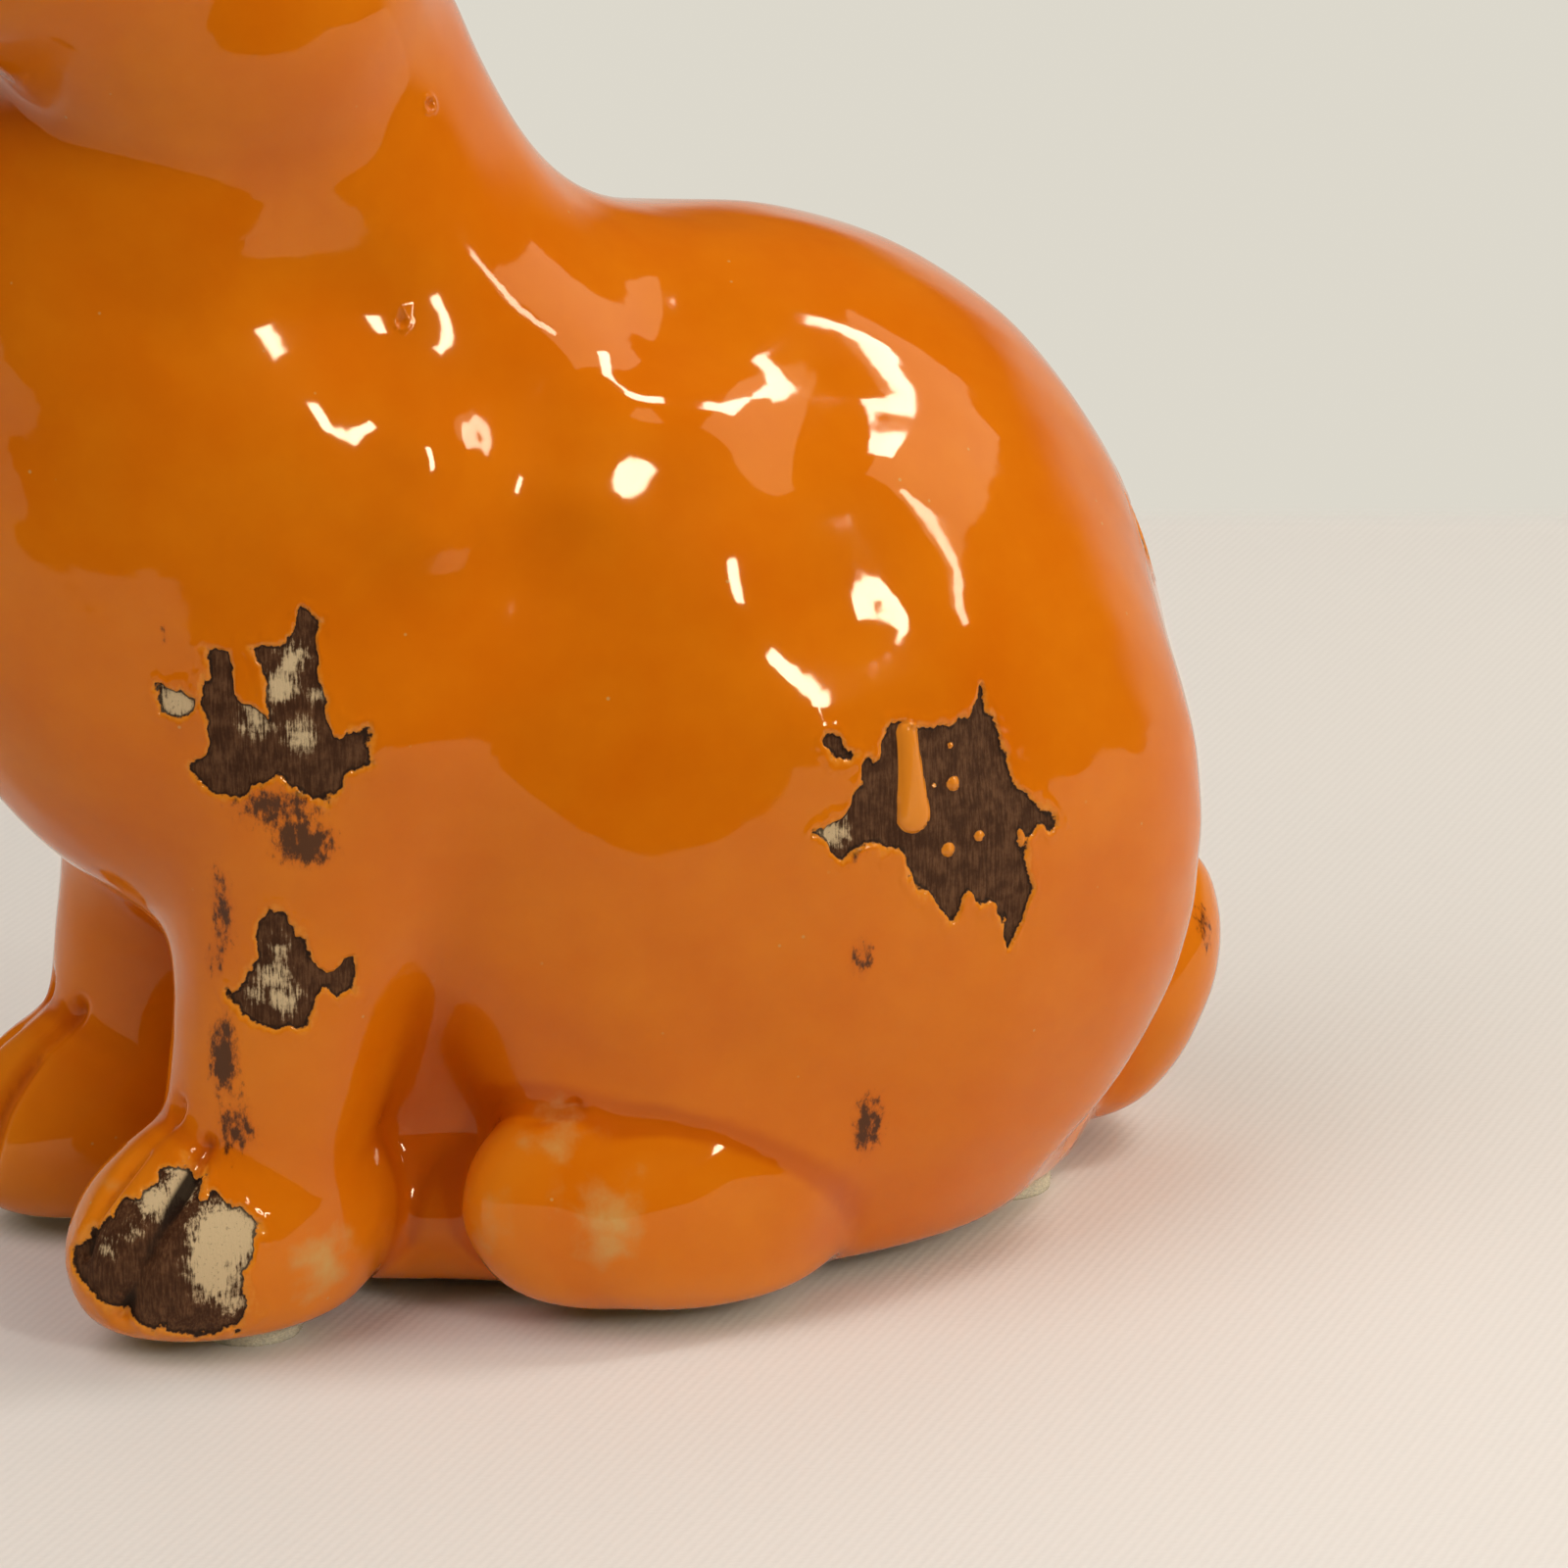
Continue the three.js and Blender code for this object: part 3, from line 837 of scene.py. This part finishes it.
class Finish:
    """A new material, with the wires that its recipe is written in."""

    def __init__(self, name, roughness):
        self.material = bpy.data.materials.new(name)
        self.material.use_nodes = True
        tree = self.material.node_tree
        self.shader = tree.nodes["Principled BSDF"]
        self.shader.inputs["Roughness"].default_value = roughness
        self.start = Wire(tree)
        place = self.start.node("ShaderNodeTexCoord", out="Object")
        self.place = self.scaled(place, 1 / MM)

    def scaled(self, vector, by):
        """A vector times a number, or times three numbers for its three axes."""
        kind = "MULTIPLY" if isinstance(by, tuple) else "SCALE"
        return self.start.vector(kind, vector, by)

    def number(self, name):
        """A number stored on the mesh."""
        return self.start.node("ShaderNodeAttribute", {"attribute_name": name}, out="Fac")

    def noise(self, size, detail=3.0, stretch=None, shift=0.0, rough=0.5):
        """Uneven values from 0 to 1, with blotches of the given size in millimetres."""
        vector = self.place
        if stretch is not None:
            vector = self.scaled(vector, stretch)
        if shift:
            vector = self.start.vector("ADD", vector, (shift,) * 3)
        values = {"Vector": vector, "Scale": 1 / size, "Detail": detail, "Roughness": rough}
        return self.start.node("ShaderNodeTexNoise", None, values)

    def feed(self, socket, wire):
        """Links a wire to one of the shader's sockets."""
        self.start.tree.links.new(wire.socket, self.shader.inputs[socket])

    def bump(self, height, distance):
        """Raises the surface by up to the given distance."""
        values = {"Strength": 1.0, "Distance": distance, "Height": height}
        self.feed("Normal", self.start.node("ShaderNodeBump", None, values))


# ------------------------------------------------------------------ finishes


def glazed_ceramic(settings):
    """Orange glaze over stained clay: worn patches, stains, pooling and thin places."""
    finish = Finish("orange_glaze", 0.07)
    finish.shader.inputs["IOR"].default_value = 1.45
    finish.shader.inputs["Specular Tint"].default_value = (1.0, 0.84, 0.60, 1)
    bare = finish.number("bare")
    pale = finish.number("pale")
    stain = finish.number("stain")
    thin = finish.number("thin")
    pool = finish.number("pool")
    groove = finish.number("groove")
    underside = finish.number("underside")

    # The glaze: deep in the hollows, yellower on ridges, mottled and faintly specked.
    cloud = finish.noise(9.0, 2.0)
    mottle = finish.noise(1.6, 4.0, shift=31.0)
    glaze = (cloud * 0.8 + mottle * 0.2).between(0.18, 0.88)
    colour = glaze.over(settings.glaze_light, settings.glaze)
    colour = (pool.between(0.02, 0.45) * 0.55).over(settings.glaze_deep, colour)
    colour = ((-pool).between(0.10, 0.6) * 0.35).over(settings.glaze_thin, colour)
    milky = (thin + (finish.noise(2.2, 4.0, shift=7.0) - 0.5) * 0.9).between(0.35, 0.95)
    colour = (milky * 0.75).over(settings.milky, colour)
    specks = finish.start.node(
        "ShaderNodeTexVoronoi",
        {"feature": "F1"},
        {"Vector": finish.place, "Scale": 0.42, "Randomness": 1.0},
    )
    speck = 1 - specks.between(0.03, 0.07)
    colour = (speck * finish.noise(5.0, 1.0, shift=90.0).between(0.52, 0.58) * 0.5).over(
        settings.milky, colour
    )

    # Stain rubbed over the glaze and left in the grooves.
    rag = finish.noise(0.55, 5.0, (1.0, 1.0, 0.55), shift=12.0, rough=0.65)
    smear = (stain + (rag - 0.5) * 2.4).between(0.25, 0.75)
    colour = ((stain + (rag - 0.5) * 1.2).between(-0.1, 0.9) * 0.5).over(settings.rust, colour)
    colour = (smear * 0.93).over(settings.stain, colour)
    line = (groove + (rag - 0.5) * 0.8).between(0.45, 0.95)
    colour = (line * 0.45).over(settings.rust, colour)

    # The worn patches: clay stained brown, brushed in streaks, pale where it wore off.
    ragged = bare + (finish.noise(0.32, 3.0, shift=44.0) - 0.5) * 0.34
    bristle = finish.noise(0.16, 3.0, (1.0, 1.0, 0.10), shift=3.0, rough=0.6)
    blot = finish.noise(1.1, 5.0, shift=71.0, rough=0.65)
    grit = finish.noise(0.22, 3.0, shift=23.0)
    clay = (blot * 0.5 + bristle * 0.5).between(0.40, 0.66).over(
        settings.stained_clay, settings.stain
    )
    worn = (pale * 0.55 + (bristle - 0.5) * 1.5 + (blot - 0.5) * 1.9).between(-0.18, 0.38)
    clay = (worn * 0.92).over(settings.clay, clay)
    clay = ((grit.between(0.60, 0.72)) * 0.35).over(settings.stain, clay)
    clay = (groove.between(0.35, 0.7) * 0.96).over(settings.ink, clay)
    clay = ((ragged + 0.26).between(0.0, 0.16) * 0.85).over(settings.ink, clay)
    rim = (1 - ragged.between(0.02, 0.38)) * 0.55
    colour = rim.over(settings.rim, colour)
    inside = 1 - ragged.between(-0.06, 0.04)
    drip = finish.number("drip")
    inside = inside * drip.between(-0.02, 0.05)
    colour = inside.over(clay, colour)

    # The underside and the drain hole are bare clay.
    sole = (underside + (mottle - 0.5) * 0.3).between(0.45, 0.55)
    under = finish.noise(3.0, 5.0, shift=50.0).over(settings.clay, settings.milky)
    colour = sole.over(under, colour)
    rough = finish.noise(6.0, 4.0, shift=5.0).between(0.3, 0.8) * 0.035 + 0.045
    matte = inside.math("MAXIMUM", inside, sole)
    rough = rough + smear * 0.16 + matte * 0.75
    finish.feed("Base Color", colour)
    finish.feed("Roughness", rough)
    coarse = (bristle * 0.6 + grit * 0.4) * matte
    peel = finish.noise(3.4, 2.0, shift=17.0) * 0.25 * (1 - matte)
    finish.bump(coarse + peel, 0.12 * MM)
    return finish.material


def felt_cloth(settings):
    """Pressed wool felt: cream, with fine fibres."""
    finish = Finish("pad_felt", 0.9)
    fibre = finish.noise(0.25, 4.0, (1.0, 1.0, 2.2))
    tuft = finish.noise(1.3, 3.0, shift=9.0)
    light = tuple(min(1.0, c * 1.12) for c in settings.colour)
    dark = tuple(c * 0.72 for c in settings.colour)
    colour = (fibre * 0.6 + tuft * 0.4).between(0.3, 0.7).over(light, dark)
    finish.feed("Base Color", colour)
    finish.bump(fibre, 0.15 * MM)
    return finish.material


def table_cloth(settings):
    """Off-white cloth with a fine twill, fading out at its far edge."""
    finish = Finish("table_cloth", 0.85)
    values = {"Vector": finish.place, "Scale": 0.62, "Distortion": 0.6, "Detail": 2.0}
    kind = {"wave_type": "BANDS", "bands_direction": "DIAGONAL"}
    rib = finish.start.node("ShaderNodeTexWave", kind, values)
    thread = finish.noise(0.35, 2.0, (1.0, 0.3, 1.0))
    soft = finish.noise(60.0, 2.0, shift=40.0)
    dark = tuple(c * 0.975 for c in settings.cloth)
    colour = (rib * 0.4 + thread * 0.6).between(0.2, 0.8).over(settings.cloth, dark)
    colour = (soft.between(0.4, 0.7) * 0.25).over(settings.cloth_warm, colour)
    finish.feed("Base Color", colour)
    ahead, _ = view_axes()
    along = finish.start.vector("DOT_PRODUCT", finish.place, tuple(ahead), out="Value")
    middle = LOOK_AT[0] * ahead[0] + (LOOK_AT[1] + slide_to_frame()) * ahead[1]
    finish.feed("Alpha", (along - middle).between(-BACK_EDGE, SOFT_EDGE - BACK_EDGE))
    finish.bump(rib * 0.4 + thread * 0.6, 0.03 * MM)
    return finish.material


# ------------------------------------------------------------------ sizes and colours


def colour_prop(name, description, default):
    """A colour in the panel."""
    return bpy.props.FloatVectorProperty(
        name=name,
        description=description,
        subtype="COLOR",
        size=3,
        min=0.0,
        max=1.0,
        default=default,
    )


def power_prop(name, description, default):
    """A light's power in the panel."""
    return bpy.props.FloatProperty(
        name=name, description=description, default=default, unit="POWER", min=0.0
    )


def share_prop(name, description, default):
    """A share from 0 to 1 in the panel."""
    return bpy.props.FloatProperty(
        name=name, description=description, default=default, subtype="FACTOR", min=0.0, max=1.0
    )


class RabbitBodySettings(bpy.types.PropertyGroup):
    """The glazed body."""

    cell: bpy.props.FloatProperty(
        name="Mesh cell",
        description="Grid size that the skin is drawn on",
        default=1.0 * MM,
        unit="LENGTH",
    )
    glaze: colour_prop("Glaze", "Main colour of the glaze", (0.655, 0.140, 0.001))
    glaze_light: colour_prop("Light glaze", "Slightly thinner glaze", (0.725, 0.188, 0.003))
    glaze_deep: colour_prop("Deep glaze", "Glaze gathered in hollows", (0.46, 0.062, 0.001))
    glaze_thin: colour_prop("Ridge glaze", "Glaze on ridges", (0.79, 0.265, 0.014))
    milky: colour_prop("Milky glaze", "Thin glaze with clay showing", (0.60, 0.42, 0.14))
    rim: colour_prop("Rim", "Yellow edge of the glaze round a worn patch", (0.80, 0.30, 0.03))
    stain: colour_prop("Stain", "Brown rubbed into clay and glaze", (0.045, 0.014, 0.005))
    stained_clay: colour_prop("Stained clay", "Clay with worn stain", (0.140, 0.060, 0.026))
    clay: colour_prop("Clay", "Bare clay", (0.68, 0.51, 0.29))
    ink: colour_prop("Ink", "Darkest stain, in grooves and round patches", (0.014, 0.006, 0.004))
    rust: colour_prop("Rust", "Thin stain on glaze", (0.36, 0.055, 0.008))


class RabbitPadSettings(bpy.types.PropertyGroup):
    """The felt pads."""

    nap: bpy.props.FloatProperty(
        name="Nap",
        description="Length of the loose fibres",
        default=0.35 * MM,
        unit="LENGTH",
    )
    density: bpy.props.FloatProperty(
        name="Fibre density",
        description="Fibres for each square metre of pad",
        default=5.0e6,
    )
    seed: bpy.props.IntProperty(name="Seed", description="Order of the fibres", default=4)
    colour: colour_prop("Felt", "Colour of the felt", (0.80, 0.74, 0.55))


class RabbitStageSettings(bpy.types.PropertyGroup):
    """The table, the backdrop and the lights."""

    cloth: colour_prop("Cloth", "Colour of the table cloth", (0.765, 0.735, 0.700))
    cloth_warm: colour_prop("Warm cloth", "Soft warm areas of the cloth", (0.79, 0.745, 0.695))
    wall: colour_prop("Backdrop", "Colour of the backdrop", (0.719, 0.688, 0.605))
    key: power_prop("Window light", "Power of the main softbox", 1.14)
    top: power_prop("Top light", "Power of the overhead softbox", 1.1)
    room: power_prop("Room light", "Power of the wide soft light from above", 4.6)
    wall_light: share_prop("Backdrop glow", "How brightly the backdrop shows in the glaze", 0.85)
    dark_room: share_prop("Room glow", "Light from the dark side of the room", 0.05)


# ------------------------------------------------------------------ pieces


def placed(name, mesh, material):
    """A mesh as an object at the origin, with one material."""
    mesh.materials.clear()
    mesh.materials.append(material)
    piece = bpy.data.objects.new(name, mesh)
    bpy.context.scene.collection.objects.link(piece)
    return piece


def slide_to_frame():
    """How far the sculptor's coordinates move along Y to stand in the frame."""
    low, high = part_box(PAD_NODES[0])
    return (low.y + high.y) / 2 / MM - FRONT_PAD_Y


class RABBIT_OT_body(bpy.types.Operator):
    """Models the glazed ceramic body"""

    bl_idname = "rabbit.body"
    bl_label = "Ceramic body"

    def execute(self, context):
        settings = context.scene.rabbit_body
        bm = fine_skin(settings.cell / MM)
        mesh = bpy.data.meshes.new("ceramic_rabbit_body")
        bm.to_mesh(mesh)
        bm.free()
        if len(mesh.polygons) > MOST_FACES:
            raise RuntimeError(f"the body has {len(mesh.polygons)} faces; use a larger cell")
        points = np.empty(len(mesh.vertices) * 3)
        mesh.vertices.foreach_get("co", points)
        points = settled(points.reshape(-1, 3))
        normals = unit(slope(figure, points, SKIN_STEP))
        flat = (points[:, 2] < UNDERSIDE + 0.01) & ~in_vent(points)
        normals[flat] = (0, 0, -1)
        rise = relief(points)
        gradient = slope(relief, points, RELIEF_STEP)
        along = gradient - (gradient * normals).sum(1, keepdims=True) * normals
        finished = points + rise[:, None] * normals
        facing = unit(normals - along)
        facing[flat] = (0, 0, -1)
        for name, rule in GLAZE_RULES.items():
            set_numbers(mesh, name, rule(points))
        finished[:, 1] += slide_to_frame()
        mesh.vertices.foreach_set("co", (finished * MM).ravel())
        mesh.shade_smooth()
        mesh.update()
        mesh.normals_split_custom_set_from_vertices(facing.tolist())
        piece = placed("ceramic_rabbit_body", mesh, glazed_ceramic(settings))
        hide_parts(BODY_NODE)
        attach(piece, "root")
        return {"FINISHED"}


def felt_tree(material):
    """A node tree for one felt pad: a disc with its side roughened by noise, and loose fibres."""
    tree = bpy.data.node_groups.new("Felt pad", "GeometryNodeTree")
    face = tree.interface
    face.new_socket("Geometry", in_out="OUTPUT", socket_type="NodeSocketGeometry")
    for name in ("Radius", "Thickness", "Nap", "Density"):
        face.new_socket(name, in_out="INPUT", socket_type="NodeSocketFloat")
    face.new_socket("Middle", in_out="INPUT", socket_type="NodeSocketVector")
    face.new_socket("Seed", in_out="INPUT", socket_type="NodeSocketInt")
    start = Wire(tree)
    inputs = tree.nodes.new("NodeGroupInput")
    radius, thickness, nap, density, middle, seed = (Wire(tree, s) for s in inputs.outputs[:6])

    disc = start.node(
        "GeometryNodeMeshCylinder",
        {"fill_type": "TRIANGLE_FAN"},
        {
            "Vertices": 72,
            "Side Segments": 5,
            "Fill Segments": 8,
            "Radius": radius,
            "Depth": thickness,
        },
    )
    place = start.node("GeometryNodeInputPosition")
    wool = start.node(
        "ShaderNodeTexNoise", None, {"Vector": place, "Scale": 1400.0, "Detail": 3.0}, out="Color"
    )
    centred = start.vector("SUBTRACT", wool, (0.5,) * 3)
    offset = start.vector("SCALE", start.vector("MULTIPLY", centred, (1, 1, 0)), nap * 0.9)
    fuzzy = start.node("GeometryNodeSetPosition", None, {"Geometry": disc, "Offset": offset})
    smooth = start.node("GeometryNodeSetShadeSmooth", None, {0: fuzzy})

    spread = start.node(
        "GeometryNodeDistributePointsOnFaces",
        {"distribute_method": "RANDOM"},
        {"Mesh": fuzzy, "Density": density, "Seed": seed},
    )
    rotation = Wire(tree, spread.socket.node.outputs["Rotation"])
    fibre = start.node(
        "GeometryNodeMeshCone",
        None,
        {
            "Vertices": 3,
            "Radius Top": 0.004 * MM,
            "Radius Bottom": 0.022 * MM,
            "Depth": nap,
        },
    )
    tip = start.node(
        "FunctionNodeRandomValue",
        {"data_type": "FLOAT_VECTOR"},
        {"Min": (-1.25, -1.25, -3.1), "Max": (1.25, 1.25, 3.1), "Seed": seed},
    )
    bend = start.node("FunctionNodeEulerToRotation", None, {0: tip})
    local = {"rotation_space": "LOCAL"}
    tilt = start.node("FunctionNodeRotateRotation", local, {0: rotation, 1: bend})
    length = start.node(
        "FunctionNodeRandomValue", {"data_type": "FLOAT"}, {2: 0.4, 3: 1.0, "Seed": seed}, out=1
    )
    scale = start.node("ShaderNodeCombineXYZ", None, {0: 1.0, 1: 1.0, 2: length})
    nap_on = start.node(
        "GeometryNodeInstanceOnPoints",
        None,
        {"Points": spread, "Instance": fibre, "Rotation": tilt, "Scale": scale},
    )
    both = tree.nodes.new("GeometryNodeJoinGeometry")
    tree.links.new(smooth.socket, both.inputs[0])
    tree.links.new(nap_on.socket, both.inputs[0])
    whole = Wire(tree, both.outputs[0])
    at_middle = {"Geometry": whole, "Translation": middle}
    moved = start.node("GeometryNodeTransform", None, at_middle)
    real = start.node("GeometryNodeRealizeInstances", None, {0: moved})
    done = start.node("GeometryNodeSetMaterial", None, {"Geometry": real, "Material": material})
    output = tree.nodes.new("NodeGroupOutput")
    tree.links.new(done.socket, output.inputs[0])
    return tree


def grown(name, tree, inputs, material):
    """Runs a node tree with the given inputs and returns its result as a plain piece."""
    seed_mesh = bpy.data.meshes.new(name + "_start")
    holder = bpy.data.objects.new(name + "_holder", seed_mesh)
    bpy.context.scene.collection.objects.link(holder)
    modifier = holder.modifiers.new("Shape", "NODES")
    modifier.node_group = tree
    for socket in tree.interface.items_tree:
        if socket.in_out == "INPUT":
            modifier[socket.identifier] = inputs[socket.name]
    graph = bpy.context.evaluated_depsgraph_get()
    mesh = bpy.data.meshes.new_from_object(holder.evaluated_get(graph))
    holder.modifiers.remove(modifier)
    bpy.data.objects.remove(holder)
    bpy.data.meshes.remove(seed_mesh)
    if not mesh.polygons:
        raise RuntimeError(f"{name} came out empty")
    mesh.name = name
    return placed(name, mesh, material)


class RABBIT_OT_pads(bpy.types.Operator):
    """Makes the four felt pads under the paws and the rump"""

    bl_idname = "rabbit.pads"
    bl_label = "Felt pads"

    def execute(self, context):
        settings = context.scene.rabbit_pads
        material = felt_cloth(settings)
        tree = felt_tree(material)
        for order, node in enumerate(PAD_NODES):
            low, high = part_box(node)
            depth = high.z - low.z
            inputs = {
                "Radius": (high.x - low.x) / 2 - settings.nap * 0.6,
                "Thickness": depth,
                "Nap": settings.nap,
                "Density": settings.density,
                "Middle": (low + high) / 2,
                "Seed": settings.seed + order,
            }
            piece = grown(node.replace("felt_pad", "felt"), tree, inputs, material)
            keep_within(piece.data, low.z, high.z)
            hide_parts(node)
            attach(piece, "root")
        return {"FINISHED"}


def keep_within(mesh, floor, ceiling):
    """Presses a mesh between the table and the surface that it is stuck to."""
    for vertex in mesh.vertices:
        vertex.co.z = min(max(vertex.co.z, floor), ceiling)


# ------------------------------------------------------------------ stage
# The camera and the cloth, in millimetres and degrees. The edges are distances from the
# point that the camera looks at, which is in the sculptor's coordinates.

LOOK_AT = (9.1, 14.0, 32.6)
VIEW_TURN = 23.5
VIEW_RISE = 17.7
VIEW_DISTANCE = 500.0
LENS = 166.5
SENSOR = 36.0
BACK_EDGE = 190.0
FRONT_EDGE = 178.0
SIDE_EDGE = 420.0
SOFT_EDGE = 9.0


def view_axes():
    """The level direction towards the camera, and the one to its side."""
    turn = math.radians(-VIEW_TURN)
    ahead = np.array((math.cos(turn), math.sin(turn), 0.0))
    return ahead, np.array((-math.sin(turn), math.cos(turn), 0.0))


def from_target(turn, rise, distance):
    """A place, seen from the point that the camera looks at."""
    turn, rise = math.radians(turn), math.radians(rise)
    away = Vector(
        (math.cos(turn) * math.cos(rise), math.sin(turn) * math.cos(rise), math.sin(rise))
    )
    x, y, z = LOOK_AT
    return (Vector((x, y + slide_to_frame(), z)) + away * distance) * MM


def softbox(name, turn, rise, distance, size, power, colour, glossy=True):
    """A rectangular area light that points at the figure."""
    light = bpy.data.lights.new(name, "AREA")
    light.shape = "RECTANGLE"
    light.size, light.size_y = size[0] * MM, size[1] * MM
    light.energy = power
    light.color = colour
    lamp = bpy.data.objects.new(name, light)
    bpy.context.scene.collection.objects.link(lamp)
    lamp.location = from_target(turn, rise, distance)
    lamp.rotation_euler = (lamp.location - from_target(0, 0, 0)).to_track_quat("Z", "Y").to_euler()
    lamp.visible_glossy = glossy


def sheet_of(name, profile, half_width, material):
    """Draws a profile of (towards camera, up) points out sideways into a staged sheet."""
    ahead, side = view_axes()
    middle = np.array((LOOK_AT[0], LOOK_AT[1] + slide_to_frame(), 0))
    points, faces = [], []
    for toward, up in profile:
        for across in (-half_width, half_width):
            points.append((middle + ahead * toward + side * across + (0, 0, up)) * MM)
    for i in range(len(profile) - 1):
        faces.append((2 * i, 2 * i + 1, 2 * i + 3, 2 * i + 2))
    mesh = bpy.data.meshes.new(name)
    mesh.from_pydata([tuple(p) for p in points], [], faces)
    mesh.shade_smooth()
    sheet = placed(name, mesh, material)


def room_world(settings):
    """The room: a plain backdrop to look at, bright behind the figure and dark in front."""
    world = bpy.data.worlds.new("room")
    world.use_nodes = True
    tree = world.node_tree
    start = Wire(tree)
    direction = start.node("ShaderNodeTexCoord", out="Generated")
    ahead, _ = view_axes()
    back = start.vector("DOT_PRODUCT", direction, tuple(-ahead), out="Value")
    height = start.vector("DOT_PRODUCT", direction, (0, 0, 1), out="Value")
    lit = back.between(0.25, 0.55) * (1 - height.between(0.10, 0.36))
    strength = lit * settings.wall_light + settings.dark_room
    seen = start.node("ShaderNodeLightPath", out="Is Camera Ray")
    total = seen + (1 - seen) * strength
    background = tree.nodes["Background"]
    background.inputs["Color"].default_value = (*settings.wall, 1)
    tree.links.new(total.socket, background.inputs["Strength"])
    return world


class RABBIT_OT_stage(bpy.types.Operator):
    """Lays the table cloth and the backdrop, and sets the lights and the camera"""

    bl_idname = "rabbit.stage"
    bl_label = "Stage"

    def execute(self, context):
        scene = context.scene
        settings = scene.rabbit_stage
        cloth = [(FRONT_EDGE, 0.0), (0.0, 0.0), (-BACK_EDGE, 0.0)]
        sheet_of("table_cloth", cloth, SIDE_EDGE, table_cloth(settings))
        warm, plain, amber = (1.0, 0.955, 0.89), (1.0, 0.975, 0.94), (1.0, 0.88, 0.66)
        softbox("window_light", 14, 25, 700, (55, 165), settings.key, warm)
        softbox("top_light", 78, 57, 700, (75, 165), settings.top, plain)
        softbox("side_light", 52, 27, 700, (40, 120), settings.top * 0.25, plain)
        softbox("ceiling", 70, 43, 900, (640, 500), settings.top * 1.9, amber)
        softbox("room_fill", -78, 52, 900, (800, 800), settings.room * 0.95, plain, False)
        softbox("front_fill", 12, 34, 900, (700, 500), settings.room * 0.26, plain, False)
        softbox("back_fill", 150, 50, 900, (800, 800), settings.room * 0.45, plain, False)
        scene.world = room_world(settings)
        scene.view_settings.view_transform = "Standard"

        camera = bpy.data.cameras.new("camera")
        camera.lens = LENS
        camera.sensor_width = SENSOR
        camera.clip_start = 10 * MM
        camera.clip_end = 10.0
        eye = bpy.data.objects.new("camera", camera)
        scene.collection.objects.link(eye)
        eye.location = from_target(-VIEW_TURN, VIEW_RISE, VIEW_DISTANCE)
        look = eye.location - from_target(0, 0, 0)
        eye.rotation_euler = look.to_track_quat("Z", "Y").to_euler()
        scene.camera = eye
        return {"FINISHED"}


# ------------------------------------------------------------------ panel and start


class RABBIT_PT_panel(bpy.types.Panel):
    """Lists the rabbit's pieces"""

    bl_idname = "RABBIT_PT_panel"
    bl_label = "Ceramic Rabbit"
    bl_space_type = "VIEW_3D"
    bl_region_type = "UI"
    bl_category = "Rabbit"

    def draw(self, context):
        for operator, group in STEPS:
            box = self.layout.box()
            box.operator(operator)
            settings = getattr(context.scene, group)
            for name in settings.__annotations__:
                box.prop(settings, name)


STEPS = (
    ("rabbit.stage", "rabbit_stage"),
    ("rabbit.body", "rabbit_body"),
    ("rabbit.pads", "rabbit_pads"),
)
GROUPS = {
    "rabbit_stage": RabbitStageSettings,
    "rabbit_body": RabbitBodySettings,
    "rabbit_pads": RabbitPadSettings,
}
CLASSES = (
    RabbitBodySettings,
    RabbitPadSettings,
    RabbitStageSettings,
    RABBIT_OT_body,
    RABBIT_OT_pads,
    RABBIT_OT_stage,
    RABBIT_PT_panel,
)


def register():
    for cls in CLASSES:
        bpy.utils.register_class(cls)
    for name, group in GROUPS.items():
        setattr(bpy.types.Scene, name, bpy.props.PointerProperty(type=group))


def unregister():
    for name in GROUPS:
        delattr(bpy.types.Scene, name)
    for cls in reversed(CLASSES):
        bpy.utils.unregister_class(cls)


def main():
    register()
    bpy.ops.rabbit.stage()
    bpy.ops.rabbit.body()
    bpy.ops.rabbit.pads()


if __name__ == "__main__":
    main()
